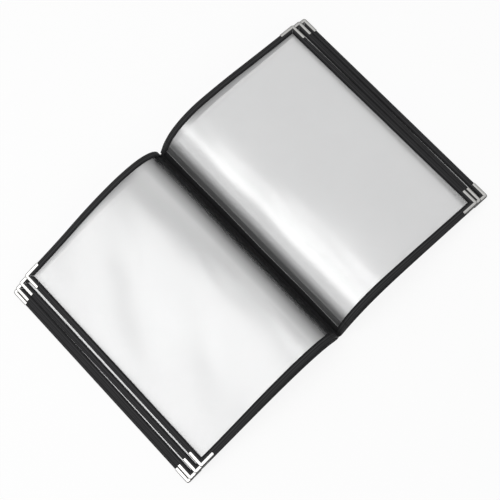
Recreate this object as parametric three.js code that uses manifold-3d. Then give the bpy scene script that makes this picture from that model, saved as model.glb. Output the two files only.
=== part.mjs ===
// Open book-style menu cover: seven clear pocket leaves on one sewn spine.
// Four leaves lie on the left and three on the right, fanned and arched by their own spring.
//
// Millimetres, +Z up. X runs across the open book, with the right-hand leaves at +X.
// Y runs along the spine, with the reader's side at -Y. The origin is under the middle
// of the spine, on the table.

import * as THREE from 'three';
import { mergeVertices } from 'three/addons/utils/BufferGeometryUtils.js';
import Module from 'manifold-3d';

const wasm = await Module();
wasm.setup();

// Menu page that a pocket holds
const pageWidth = 210;
const pageHeight = 297;
const pageSlack = 1.5;

// Leaf, measured flat
const borderWidth = 8.2;
const stripWidth = 25.5;
const leafWidth = stripWidth + pageWidth + pageSlack + borderWidth;
const leafHeight = pageHeight + 2 * borderWidth;

// Layers of a leaf
const touchGap = 0.3;
const sheetThickness = 0.3;
const pageSpace = 0.3;
const tapeThickness = 0.5;
const stripThickness = 0.5;
const pocketThickness = 2 * sheetThickness + pageSpace;
const slotThickness = pocketThickness + 2 * touchGap;
const borderThickness = slotThickness + 2 * tapeThickness;

// Hinge crease between the cloth strip and the pocket
const creaseGap = 0.6;
const pocketStart = stripWidth + creaseGap;
const mouthOverlap = 3;

// Folded metal corners
const cornerPlate = 0.3;
const cornerLeg = 21;
const cornerStripWidth = 4.5;
const cornerRadius = 2.5;
const mitreSlitWidth = 0.4;
const mitreSlitShare = 0.7;
const cornerThickness = borderThickness + 2 * (touchGap + cornerPlate);

// The last stretch of a leaf is held flat by its metal corners
const flatTip = cornerLeg + 3;

// Spine
const spineCoverWidth = 26;
const spineCoverThickness = 1;
const coreWidth = 5;
const coreHeight = 4.2;
const stripPitch = 1.05;
const rootClearance = 0.35;

// How finely a leaf is faceted along its arch, and at its folded edge
const tapeSteps = 27;
const sheetSteps = 34;
const stripSteps = 5;
const foldFacets = 3;
const curveStretch = 0.5;

// Search for the tilt at which a leaf comes to rest
const settleLimit = 20;
const settleRounds = 40;

// Slope of each top leaf in degrees along its width, from the spine to the fore-edge.
// Between two stops the slope changes evenly, so each stretch is an arc.
const leftArch = {
  along: [0, 15, 32, 58, 95, 158, leafWidth - flatTip, leafWidth],
  slope: [86, 73.3, 43.3, 11.6, -5.3, -17.1, -10.7, -10.7],
};
const rightArch = {
  along: [0, 15, 32, 58, 95, 158, leafWidth - flatTip, leafWidth],
  slope: [60, 57.8, 44.1, 17.9, -8.7, -15.6, -13.8, -13.8],
};

// Share of the top leaf's slope that each leaf keeps, from the bottom leaf up
const leftShares = [0.474, 0.605, 0.792, 1];
const rightShares = [0.578, 0.798, 1];

const clothColour = '#2b2b2d';
const vinylColour = '#e6eaec';
const metalColour = '#cfcdc8';

function matte(colour, roughness) {
  return new THREE.MeshStandardMaterial({ color: colour, roughness, metalness: 0 });
}

const materials = {
  cloth: () => matte(clothColour, 0.75),
  vinyl: () => matte(vinylColour, 0.15),
  metal: () => new THREE.MeshStandardMaterial({ color: metalColour, roughness: 0.3, metalness: 1 }),
};

function degrees(angle) {
  return (angle * Math.PI) / 180;
}

// The line that a leaf's middle layer follows, seen along the spine.
// It is walked in short equal stretches and read back by interpolation.
class LeafCurve {
  constructor(arch, share, tilt, rootX, rootZ) {
    this.arch = arch;
    this.share = share;
    this.tilt = tilt;
    this.points = [{ x: rootX, z: rootZ }];
    const count = Math.ceil(leafWidth / curveStretch);
    for (let i = 0; i < count; i += 1) {
      const slope = this.slopeAt((i + 0.5) * curveStretch);
      const last = this.points[i];
      this.points.push({
        x: last.x + curveStretch * Math.cos(slope),
        z: last.z + curveStretch * Math.sin(slope),
      });
    }
  }

  slopeAt(along) {
    const stops = this.arch.along;
    let i = 1;
    while (i < stops.length - 1 && along > stops[i]) i += 1;
    const t = THREE.MathUtils.clamp((along - stops[i - 1]) / (stops[i] - stops[i - 1]), 0, 1);
    const slope = THREE.MathUtils.lerp(this.arch.slope[i - 1], this.arch.slope[i], t);
    return degrees(slope * this.share + this.tilt);
  }

  // Point at a distance along the leaf and an offset above its middle layer
  pointAt(along, above) {
    const step = THREE.MathUtils.clamp(along, 0, leafWidth) / curveStretch;
    const i = Math.min(Math.floor(step), this.points.length - 2);
    const t = step - i;
    const from = this.points[i];
    const to = this.points[i + 1];
    const beyond = Math.max(0, along - leafWidth);
    const slope = this.slopeAt(along);
    return {
      x: from.x + (to.x - from.x) * t + beyond * Math.cos(slope) - above * Math.sin(slope),
      z: from.z + (to.z - from.z) * t + beyond * Math.sin(slope) + above * Math.cos(slope),
    };
  }

  get tip() {
    return this.pointAt(leafWidth + touchGap + cornerPlate, 0);
  }

  heightOver(x) {
    const i = this.points.findIndex((point) => point.x > x);
    if (i < 1) return this.points[this.points.length - 1].z;
    const from = this.points[i - 1];
    const to = this.points[i];
    return from.z + ((to.z - from.z) * (x - from.x)) / (to.x - from.x);
  }
}

// Height of a leaf's tip when its metal corners lie on the table or on the leaf below
function restHeight(curve, below) {
  const slope = curve.slopeAt(leafWidth);
  const halfDrop = (cornerThickness / 2) * Math.cos(slope);
  if (!below) return halfDrop;
  const slopeBelow = below.slopeAt(leafWidth);
  const lift = (cornerThickness / 2 + touchGap) / Math.cos(slopeBelow);
  return below.heightOver(curve.tip.x) + lift + halfDrop;
}

// Tilts a leaf about its root until its tip comes to rest
function settledLeaf(arch, share, rootX, rootZ, below) {
  let low = -settleLimit;
  let high = settleLimit;
  let curve;
  for (let i = 0; i < settleRounds; i += 1) {
    const tilt = (low + high) / 2;
    curve = new LeafCurve(arch, share, tilt, rootX, rootZ);
    if (curve.tip.z > restHeight(curve, below)) high = tilt;
    else low = tilt;
  }
  return curve;
}

// Leaves of one side from the bottom up, each resting on the one before
function settledStack(arch, shares) {
  const curves = [];
  shares.forEach((share, i) => {
    const fromTop = shares.length - 1 - i;
    const rootX = rootClearance + stripThickness + stripPitch * fromTop;
    const rootZ = spineCoverThickness + touchGap + coreHeight + rootClearance + stripThickness;
    curves.push(settledLeaf(arch, share, rootX, rootZ, curves[i - 1]));
  });
  return curves;
}

// Every piece of a leaf is drawn flat first. There x is the distance along the leaf from
// the spine, y the place along the spine, and z the height above the middle layer.
function bentOntoLeaf(geometry, curve) {
  const flat = geometry.clone();
  flat.deleteAttribute('normal');
  flat.deleteAttribute('uv');
  const bent = mergeVertices(flat, 1e-4);
  const place = bent.attributes.position;
  for (let i = 0; i < place.count; i += 1) {
    const point = curve.pointAt(place.getX(i), place.getZ(i));
    place.setXYZ(i, point.x, place.getY(i), point.z);
  }
  bent.computeVertexNormals();
  return bent;
}

function movedVertices(geometry, move) {
  const place = geometry.attributes.position;
  for (let i = 0; i < place.count; i += 1) {
    const [x, y, z] = move(place.getX(i), place.getY(i), place.getZ(i));
    place.setXYZ(i, x, y, z);
  }
  return geometry;
}

// Section of the tape folded over a leaf's edge. The first axis is the depth in from the
// edge, the second the height above the middle layer. The fold itself is round.
function foldedTapeSection() {
  const half = borderThickness / 2;
  const slot = slotThickness / 2;
  const section = new THREE.Shape();
  section.moveTo(borderWidth, half);
  section.lineTo(half, half);
  for (let i = 1; i < foldFacets; i += 1) {
    const turn = Math.PI / 2 + (Math.PI * i) / foldFacets;
    section.lineTo(half + half * Math.cos(turn), half * Math.sin(turn));
  }
  section.lineTo(half, -half);
  section.lineTo(borderWidth, -half);
  section.lineTo(borderWidth, -slot);
  section.lineTo(tapeThickness + half - slot, -slot);
  section.lineTo(tapeThickness + half - slot, slot);
  section.lineTo(borderWidth, slot);
  section.closePath();
  return section;
}

const slotDepth = tapeThickness + borderThickness / 2 - slotThickness / 2;

function unitSweep(section, steps) {
  return new THREE.ExtrudeGeometry(section, { depth: 1, steps, bevelEnabled: false });
}

// Tape along the far or near edge, cut in a mitre where it meets the fore-edge tape
function longTape(edge) {
  const start = pocketStart;
  return movedVertices(unitSweep(foldedTapeSection(), tapeSteps), (depth, above, t) => {
    const end = leafWidth - depth - touchGap;
    return [start + t * (end - start), edge * (leafHeight / 2 - depth), -edge * above];
  });
}

// Tape along the fore-edge, with a mitre at each end
function foreEdgeTape() {
  return movedVertices(unitSweep(foldedTapeSection(), 1), (depth, above, t) => {
    const half = leafHeight / 2 - depth - touchGap;
    return [leafWidth - depth, half * (2 * t - 1), above];
  });
}

function flatSheet(from, to, halfLength, above, thickness, steps) {
  const sheet = new THREE.BoxGeometry(to - from, 2 * halfLength, thickness, steps, 1, 1);
  return sheet.translate((from + to) / 2, 0, above);
}

// Clear sheets of the pocket. The front one reaches over the cloth strip as the pocket's mouth.
function clearSheet(face) {
  const from = face > 0 ? stripWidth - mouthOverlap : pocketStart;
  const to = leafWidth - slotDepth - touchGap;
  const halfLength = leafHeight / 2 - slotDepth - touchGap;
  const above = (face * (pageSpace + sheetThickness)) / 2;
  return flatSheet(from, to, halfLength, above, sheetThickness, sheetSteps);
}

// Cloth strip that is sewn into the spine and carries one leaf
function hingeStrip() {
  const above = pageSpace / 2 - touchGap - stripThickness / 2;
  return flatSheet(0, stripWidth, leafHeight / 2, above, stripThickness, stripSteps);
}

function solidOf(geometry) {
  const bare = geometry.clone();
  bare.deleteAttribute('normal');
  bare.deleteAttribute('uv');
  const merged = mergeVertices(bare, 1e-5);
  return new wasm.Manifold(new wasm.Mesh({
    numProp: 3,
    vertProperties: new Float32Array(merged.attributes.position.array),
    triVerts: new Uint32Array(merged.index.array),
  }));
}

function geometryOf(solid) {
  const mesh = solid.getMesh();
  const geometry = new THREE.BufferGeometry();
  geometry.setAttribute('position', new THREE.BufferAttribute(mesh.vertProperties, 3));
  geometry.setIndex(new THREE.BufferAttribute(mesh.triVerts, 1));
  return geometry;
}

// Plan of a metal corner. Its two legs start at (0, 0), the sharp outer corner.
// The inset shrinks the outer edges only, which makes room for the folded wall.
function cornerPlan(inset, reach, stripReach) {
  const radius = cornerRadius - inset;
  const plan = new THREE.Shape();
  plan.moveTo(-reach, -inset);
  plan.lineTo(-inset - radius, -inset);
  plan.absarc(-inset - radius, -inset - radius, radius, Math.PI / 2, 0, true);
  plan.lineTo(-inset, -reach);
  plan.lineTo(-stripReach, -reach);
  plan.lineTo(-stripReach, -stripReach);
  plan.lineTo(-reach, -stripReach);
  plan.closePath();
  return plan;
}

function plate(plan, thickness) {
  const solid = new THREE.ExtrudeGeometry(plan, { depth: thickness, bevelEnabled: false, curveSegments: 4 });
  return solid.translate(0, 0, -thickness / 2);
}

// Metal strip bent into an L and folded round the edge of the leaf
function foldedCorner() {
  const reach = cornerLeg + 1;
  const outer = solidOf(plate(cornerPlan(0, cornerLeg, cornerStripWidth), cornerThickness));
  const space = cornerThickness - 2 * cornerPlate;
  const inner = solidOf(plate(cornerPlan(cornerPlate, reach, cornerStripWidth + 1), space));
  const slitLength = cornerStripWidth * mitreSlitShare * Math.SQRT2;
  const slit = new THREE.BoxGeometry(slitLength, mitreSlitWidth, cornerThickness + 2);
  slit.rotateZ(Math.PI / 4);
  const middle = -cornerStripWidth + (slitLength / 2 - mitreSlitWidth) * Math.SQRT1_2;
  slit.translate(middle, middle, 0);
  return outer.subtract(inner).subtract(solidOf(slit));
}

const foldedCornerSolid = foldedCorner();

// The corner at one end of the fore-edge, turned and not mirrored for the other end
function metalCorner(edge) {
  const geometry = geometryOf(foldedCornerSolid);
  if (edge < 0) geometry.rotateX(Math.PI);
  const out = touchGap + cornerPlate;
  return geometry.translate(leafWidth + out, edge * (leafHeight / 2 + out), 0);
}

function piece(name, geometry, material) {
  const mesh = new THREE.Mesh(geometry, material());
  mesh.name = name;
  return mesh;
}

// All the pieces of one leaf. On the left the leaf is turned half round about Z,
// so its far edge is the one at -Y of its own frame.
function leaf(name, curve, far) {
  const group = new THREE.Group();
  const add = (part, flat, material) => {
    group.add(piece(`${name}_${part}`, bentOntoLeaf(flat, curve), material));
  };
  add('far_binding', longTape(far), materials.cloth);
  add('fore_edge_binding', foreEdgeTape(), materials.cloth);
  add('near_binding', longTape(-far), materials.cloth);
  add('front_sheet', clearSheet(1), materials.vinyl);
  add('back_sheet', clearSheet(-1), materials.vinyl);
  add('far_corner', metalCorner(far), materials.metal);
  add('near_corner', metalCorner(-far), materials.metal);
  add('hinge_strip', hingeStrip(), materials.cloth);
  return group;
}

function block(width, height, bottom) {
  const box = new THREE.BoxGeometry(width, leafHeight, height);
  return box.translate(0, 0, bottom + height / 2);
}

function spine() {
  const group = new THREE.Group();
  const cover = block(spineCoverWidth, spineCoverThickness, 0);
  const core = block(coreWidth, coreHeight, spineCoverThickness + touchGap);
  group.add(piece('spine_cover', cover, materials.cloth));
  group.add(piece('spine_core', core, materials.cloth));
  return group;
}

// Leaves are numbered from the top of each stack down
function side(name, arch, shares, turn) {
  const group = new THREE.Group();
  const curves = settledStack(arch, shares);
  curves.forEach((curve, i) => {
    const number = shares.length - i;
    group.add(leaf(`${name}_${number}`, curve, turn ? -1 : 1));
  });
  if (turn) group.rotation.z = Math.PI;
  return group;
}

const menuCover = new THREE.Group();
menuCover.name = 'menu_cover';
menuCover.add(spine());
menuCover.add(side('left', leftArch, leftShares, true));
menuCover.add(side('right', rightArch, rightShares, false));

export default menuCover;
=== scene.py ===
"""Dressed model of an open menu cover with clear page pockets.

Seven pocket leaves, four on the left and three on the right, fan out from a cloth spine.
Lengths in the dataclasses are millimetres, as a maker would write them, and meshes are
made in metres. Angles are degrees.
"""

import logging
import math
from dataclasses import dataclass, field
from enum import Enum
from typing import Any

import bpy
import numpy as np
from mathutils import Matrix, Vector

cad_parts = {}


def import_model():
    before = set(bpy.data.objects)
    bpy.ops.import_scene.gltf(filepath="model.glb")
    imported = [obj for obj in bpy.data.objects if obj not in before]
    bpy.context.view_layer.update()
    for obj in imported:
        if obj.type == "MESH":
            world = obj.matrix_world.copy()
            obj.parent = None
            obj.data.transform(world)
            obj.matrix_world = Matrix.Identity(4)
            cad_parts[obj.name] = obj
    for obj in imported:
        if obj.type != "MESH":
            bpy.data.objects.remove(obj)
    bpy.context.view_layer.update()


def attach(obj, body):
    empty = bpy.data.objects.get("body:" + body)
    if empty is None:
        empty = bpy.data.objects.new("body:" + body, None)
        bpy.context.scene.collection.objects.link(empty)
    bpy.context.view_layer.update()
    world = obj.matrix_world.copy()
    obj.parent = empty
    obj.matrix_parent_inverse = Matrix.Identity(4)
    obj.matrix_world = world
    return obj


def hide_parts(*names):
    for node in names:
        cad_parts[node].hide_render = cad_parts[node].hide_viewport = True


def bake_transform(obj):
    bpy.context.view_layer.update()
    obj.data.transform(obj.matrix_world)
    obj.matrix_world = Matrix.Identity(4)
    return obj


logging.basicConfig(level=logging.INFO, format="%(name)s: %(message)s")
LOG = logging.getLogger("menu_cover")

MM = 0.001
LEAF_WIDTH = 245.2
LEAF_HEIGHT = 313.4
SHARP_ANGLE = 35.0
FOLD_STEPS = 11


class Slot(Enum):
    """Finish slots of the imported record."""

    CLOTH = "cloth"
    VINYL = "vinyl"
    METAL = "metal"


class Hand(Enum):
    """Side of the spine that a leaf lies on, with the sign of its direction along X."""

    LEFT = -1
    RIGHT = 1


# Meshes


def outward(points: np.ndarray, faces: list[tuple[int, ...]]) -> list[tuple[int, ...]]:
    """Turns a closed mesh the right way out.

    The signed volume is the sum of a . (b x c) / 6 over the triangles of each face's fan.

    Args:
        points: Corners, one row each.
        faces: Corner numbers of each face.

    Returns:
        The faces, all reversed if the signed volume was negative.
    """
    fans = [(f[0], f[i], f[i + 1]) for f in faces for i in range(1, len(f) - 1)]
    a, b, c = (points[np.array([fan[k] for fan in fans])] for k in range(3))
    volume = np.einsum("ij,ij->i", a, np.cross(b, c)).sum()
    return faces if volume >= 0 else [tuple(reversed(f)) for f in faces]


def mesh_object(
    name: str,
    points: np.ndarray,
    faces: list[tuple[int, ...]],
    uv: np.ndarray | None = None,
    painted_light_and_film: np.ndarray | None = None,
) -> bpy.types.Object:
    """Makes a smooth object from points in metres, with edges over SHARP_ANGLE sharp.

    Args:
        name: Name of the piece.
        points: Corners in the row frame.
        faces: Corner numbers of each face.
        uv: Surface coordinates of each corner, in metres.
        painted_light_and_film: At each corner, the painted highlight on a tape, the painted dark
            reflection on a metal corner, and the share of haze on a film.

    Returns:
        The new object, linked into the scene.
    """
    mesh = bpy.data.meshes.new(name)
    mesh.from_pydata(points.tolist(), [], outward(points, faces))
    if uv is not None:
        corners = np.empty(len(mesh.loops), dtype=np.int32)
        mesh.loops.foreach_get("vertex_index", corners)
        layer = mesh.uv_layers.new(name="Surface")
        layer.data.foreach_set("uv", uv[corners].astype(np.float32).ravel())
    if painted_light_and_film is not None:
        mesh.attributes.new("painted_light_and_film", "FLOAT", "POINT").data.foreach_set(
            "value", painted_light_and_film.astype(np.float32).ravel()
        )
    mesh.validate()
    mesh.update()
    mesh.shade_smooth()
    mesh.set_sharp_from_angle(angle=math.radians(SHARP_ANGLE))
    obj = bpy.data.objects.new(name, mesh)
    bpy.context.scene.collection.objects.link(obj)
    return obj


def grid_faces(rows: int, columns: int, first: int = 0) -> list[tuple[int, ...]]:
    """Quads of a grid of points that are numbered row by row.

    Args:
        rows: Number of rows.
        columns: Number of points in a row.
        first: Number of the grid's first point.

    Returns:
        The corner numbers of each quad.
    """
    i, j = np.meshgrid(np.arange(rows - 1), np.arange(columns - 1), indexing="ij")
    a = (first + i * columns + j).ravel()
    quads = np.stack([a, a + 1, a + columns + 1, a + columns], axis=1)
    return [tuple(q) for q in quads.tolist()]


def slab(
    name: str, top: np.ndarray, bottom: np.ndarray, uv: np.ndarray, painted_light_and_film: np.ndarray | None = None
) -> bpy.types.Object:
    """Closes two grids of the same size into a thin solid.

    The rims of the two grids are joined by a wall of quads, rim point to rim point.

    Args:
        name: Name of the piece.
        top: Upper grid, rows by columns by 3, in metres.
        bottom: Lower grid of the same shape.
        uv: Surface coordinates of the grid, rows by columns by 2, in metres.
        painted_light_and_film: Painted light and film share of each point, rows by columns, or one
            such grid for each face.

    Returns:
        The new object.
    """
    rows, columns = top.shape[:2]
    count = rows * columns
    points = np.concatenate([top.reshape(-1, 3), bottom.reshape(-1, 3)])
    faces = grid_faces(rows, columns)
    faces += [tuple(reversed(f)) for f in grid_faces(rows, columns, count)]
    index = np.arange(count).reshape(rows, columns)
    rim = np.concatenate([index[0, :-1], index[:-1, -1], index[-1, :0:-1], index[:0:-1, 0]])
    after = np.roll(rim, -1)
    walls = np.stack([after, rim, rim + count, after + count], axis=1)
    faces += [tuple(w) for w in walls.tolist()]
    flat = np.concatenate([uv.reshape(-1, 2)] * 2)
    painted_points = None if painted_light_and_film is None else np.broadcast_to(painted_light_and_film, (2, rows, columns))
    return mesh_object(name, points, faces, flat, painted_points)


def ring_quads(rings: int, around: int) -> np.ndarray:
    """Quads between equal closed rings of points, numbered ring by ring.

    Args:
        rings: Number of rings.
        around: Number of points in a ring.

    Returns:
        The corner numbers, one row for each quad.
    """
    i, j = np.meshgrid(np.arange(rings - 1), np.arange(around), indexing="ij")
    k = (j + 1) % around
    quads = [i * around + j, i * around + k, (i + 1) * around + k, (i + 1) * around + j]
    return np.stack(quads, axis=-1).reshape(-1, 4)


def tube(
    name: str, rings: np.ndarray, uv: np.ndarray, painted_light_and_film: np.ndarray | None = None
) -> bpy.types.Object:
    """Closes a row of equal rings into a capped tube.

    Args:
        name: Name of the piece.
        rings: Rings by points round the section by 3, in metres.
        uv: Surface coordinates, rings by points by 2, in metres.
        painted_light_and_film: Painted light of each point of a ring, the same on every ring.

    Returns:
        The new object.
    """
    count, around = rings.shape[:2]
    faces = [tuple(q) for q in ring_quads(count, around).tolist()]
    faces.append(tuple(range(around - 1, -1, -1)))
    faces.append(tuple(range((count - 1) * around, count * around)))
    painted_points = None if painted_light_and_film is None else np.tile(painted_light_and_film, count)
    return mesh_object(name, rings.reshape(-1, 3), faces, uv.reshape(-1, 2), painted_points)


def surface_map(along: np.ndarray, across: np.ndarray) -> np.ndarray:
    """Surface coordinates in metres from two grids of places in millimetres."""
    return np.stack(np.broadcast_arrays(along, across), axis=-1) * MM


def folded_outline(
    depth: np.ndarray, face: np.ndarray, reach: float, rise: float, inside: np.ndarray
) -> np.ndarray:
    """Closed section of a strip folded round an edge, as (depth, height) pairs.

    It runs out along the upper face, round the fold and in along the lower face. A point
    of the fold is (reach + reach * cos(a), rise * sin(a)), with a from 90 to 270 degrees.

    Args:
        depth: Depths in from the edge of a face's points, ending at the fold.
        face: Heights of those points above the middle.
        reach: Depth at which the fold starts.
        rise: Height at which the fold starts.
        inside: Points of the inner side, from the lower face to the upper.

    Returns:
        The points, one row each.
    """
    turn = np.linspace(math.pi / 2, 3 * math.pi / 2, FOLD_STEPS)[1:-1]
    fold = np.stack([reach + reach * np.cos(turn), rise * np.sin(turn)], axis=1)
    top = np.stack([depth, face], axis=1)
    under = np.stack([depth[::-1], -face[::-1]], axis=1)
    return np.concatenate([top, fold, under, inside])


def bell(place: np.ndarray, middle: float, width: float) -> np.ndarray:
    """Bell curve exp(-((place - middle) / width)^2)."""
    return np.exp(-(((place - middle) / width) ** 2))


# Shader maths


class Value:
    """A node socket that adds Math nodes when it is used in an expression."""

    def __init__(self, tree: bpy.types.NodeTree, socket: bpy.types.NodeSocket) -> None:
        """Keeps the socket and the tree it lives in."""
        self.tree = tree
        self.socket = socket

    def _math(self, operation: str, *terms: Any) -> "Value":
        """Adds a Math node.

        Args:
            operation: Name of the node's operation.
            *terms: Values and numbers for its slots, in order.

        Returns:
            The node's output.
        """
        node = self.tree.nodes.new("ShaderNodeMath")
        node.operation = operation
        for slot, term in zip(node.inputs, terms):
            if isinstance(term, Value):
                self.tree.links.new(term.socket, slot)
            else:
                slot.default_value = term
        return Value(self.tree, node.outputs[0])

    def __add__(self, other: Any) -> "Value":
        """Sum."""
        return self._math("ADD", self, other)

    def __radd__(self, other: Any) -> "Value":
        """Sum with a number on the left."""
        return self._math("ADD", other, self)

    def __sub__(self, other: Any) -> "Value":
        """Difference."""
        return self._math("SUBTRACT", self, other)

    def __rsub__(self, other: Any) -> "Value":
        """Difference with a number on the left."""
        return self._math("SUBTRACT", other, self)

    def __mul__(self, other: Any) -> "Value":
        """Product."""
        return self._math("MULTIPLY", self, other)

    def __rmul__(self, other: Any) -> "Value":
        """Product with a number on the left."""
        return self._math("MULTIPLY", other, self)

    def __truediv__(self, other: Any) -> "Value":
        """Quotient."""
        return self._math("DIVIDE", self, other)

    def __rtruediv__(self, other: Any) -> "Value":
        """Quotient of a number by the value."""
        return self._math("DIVIDE", other, self)

    def sine(self) -> "Value":
        """Sine of the value in radians."""
        return self._math("SINE", self)

    def at_most(self, other: Any) -> "Value":
        """Smaller of the two."""
        return self._math("MINIMUM", self, other)

    def at_least(self, other: Any) -> "Value":
        """Larger of the two."""
        return self._math("MAXIMUM", self, other)

    def held(self) -> "Value":
        """The value held from 0 to 1."""
        return self.at_least(0.0).at_most(1.0)


def shown_ray(tree: bpy.types.NodeTree) -> Value:
    """1 on a ray from the camera, off a mirror or through glass, and 0 on any other.

    Args:
        tree: Node tree that gets the nodes.

    Returns:
        The largest of three flags of the Light Path node.
    """
    path = tree.nodes.new("ShaderNodeLightPath")
    kinds = ("Is Camera Ray", "Is Glossy Ray", "Is Transmission Ray")
    seen, mirrored, passed = (Value(tree, path.outputs[kind]) for kind in kinds)
    return seen.at_least(mirrored).at_least(passed)


class Shader:
    """A material under construction, with one method that adds any node."""

    def __init__(self, name: str) -> None:
        """Starts an empty material.

        Args:
            name: Name of the material.
        """
        self.material = bpy.data.materials.new(name)
        self.material.use_nodes = True
        self.tree = self.material.node_tree
        self.tree.nodes.clear()

    def node(
        self, kind: str, settings: dict[str, Any] | None = None, **sockets: Any
    ) -> bpy.types.Node:
        """Adds a node, sets its settings, then gives its sockets values or links.

        Args:
            kind: Node type without its ShaderNode prefix.
            settings: Properties of the node, set before its sockets.
            **sockets: Values or links by socket name, with _ for a space.

        Returns:
            The node.
        """
        node = self.tree.nodes.new("ShaderNode" + kind)
        for key, setting in (settings or {}).items():
            setattr(node, key, setting)
        for key, value in sockets.items():
            self.connect(node.inputs[key.replace("_", " ")], value)
        return node

    def connect(self, slot: bpy.types.NodeSocket, value: Any) -> None:
        """Links a value to a slot, or sets a plain value on it.

        Args:
            slot: Input of a node.
            value: Value or socket to link, or else a number, colour or vector to set.
        """
        if isinstance(value, Value):
            self.tree.links.new(value.socket, slot)
        elif isinstance(value, bpy.types.NodeSocket):
            self.tree.links.new(value, slot)
        else:
            slot.default_value = value

    def value(self, socket: bpy.types.NodeSocket) -> Value:
        """Wraps a socket for use in expressions."""
        return Value(self.tree, socket)

    def coordinates(self, kind: str) -> bpy.types.NodeSocket:
        """Output of the Texture Coordinate node, such as Object or UV."""
        return self.node("TexCoord").outputs[kind]

    def painted_light_and_film(self) -> Value:
        """Painted highlight, painted dark reflection and film share that the points carry, 0 on a
        piece that carries none.
        """
        found = self.node("Attribute", {"attribute_name": "painted_light_and_film"})
        return self.value(found.outputs["Fac"])

    def noise(self, where: bpy.types.NodeSocket, scale: float, detail: float = 2.0) -> Value:
        """Noise from 0 to 1 with that many cells to the metre."""
        found = self.node("TexNoise", Vector=where, Scale=scale, Detail=detail)
        return self.value(found.outputs[0])

    def mix_colour(self, factor: Any, low: Any, high: Any) -> bpy.types.NodeSocket:
        """Colour between two others.

        Args:
            factor: 0 for low and 1 for high, as a number or a link.
            low: Three numbers or a link.
            high: Three numbers or a link.

        Returns:
            Colour output of the Mix node.
        """
        mix = self.node("Mix", {"data_type": "RGBA"})
        self.connect(mix.inputs[0], factor)
        for slot, colour in ((mix.inputs[6], low), (mix.inputs[7], high)):
            plain = isinstance(colour, tuple)
            self.connect(slot, (*colour, 1.0) if plain else colour)
        return mix.outputs[2]

    def bump(self, height: Any, distance: float, strength: float) -> bpy.types.NodeSocket:
        """Normal output of a Bump node for a height from 0 to 1."""
        return self.node(
            "Bump", Height=height, Distance=distance, Strength=strength
        ).outputs[0]

    def finish(self, surface: bpy.types.NodeSocket) -> bpy.types.Material:
        """Connects the surface to the output and returns the material."""
        self.node("OutputMaterial", Surface=surface)
        return self.material


# Finishes


@dataclass(frozen=True)
class ClothFinish:
    """Black leathercloth: a fine pebbled grain over a woven ground, with a matte sheen."""

    name: str
    dark: tuple[float, float, float] = (0.005, 0.005, 0.0055)
    light: tuple[float, float, float] = (0.074, 0.074, 0.076)
    grain_cells: float = 1500.0
    patch_cells: float = 45.0
    thread_turns: float = 2 * math.pi / 0.0009
    grain_depth: float = 0.00012
    grain_share: float = 0.65
    weave_share: float = 0.35
    height_tone: float = 0.20
    patch_tone: float = 0.12
    highlight_tone: float = 0.62
    bump_strength: float = 0.9
    roughness: float = 0.42
    grain_roughness: float = 0.3
    specular: float = 0.05
    sheen: float = 0.01
    sheen_roughness: float = 0.4

    def material(self) -> bpy.types.Material:
        """Builds the material.

        The height is grain plus the product of two crossed sine waves, one for each way
        that the threads run. The colour goes from dark to light with a weighted sum of the
        height, slow patches and the painted highlight that a tape carries on its fold and
        ridges, and the height drives the bump.

        Returns:
            The material.
        """
        shader = Shader(self.name)
        surface = shader.coordinates("UV")
        grain = shader.noise(surface, self.grain_cells, 3.0)
        patches = shader.noise(surface, self.patch_cells)
        split = shader.node("SeparateXYZ", Vector=surface)
        along = shader.value(split.outputs[0]) * self.thread_turns
        across = shader.value(split.outputs[1]) * self.thread_turns
        weave = along.sine() * across.sine() * 0.5 + 0.5
        height = grain * self.grain_share + weave * self.weave_share
        tone = height * self.height_tone + patches * self.patch_tone
        # Painted highlight on the tape's fold and ridges, carried by its points
        tone = tone + shader.painted_light_and_film() * self.highlight_tone
        principled = shader.node(
            "BsdfPrincipled",
            Base_Color=shader.mix_colour(tone, self.dark, self.light),
            Roughness=self.roughness + grain * self.grain_roughness,
            Normal=shader.bump(height, self.grain_depth, self.bump_strength),
            Specular_IOR_Level=self.specular,
            Sheen_Weight=self.sheen,
            Sheen_Roughness=self.sheen_roughness,
        )
        return shader.finish(principled.outputs[0])


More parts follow.
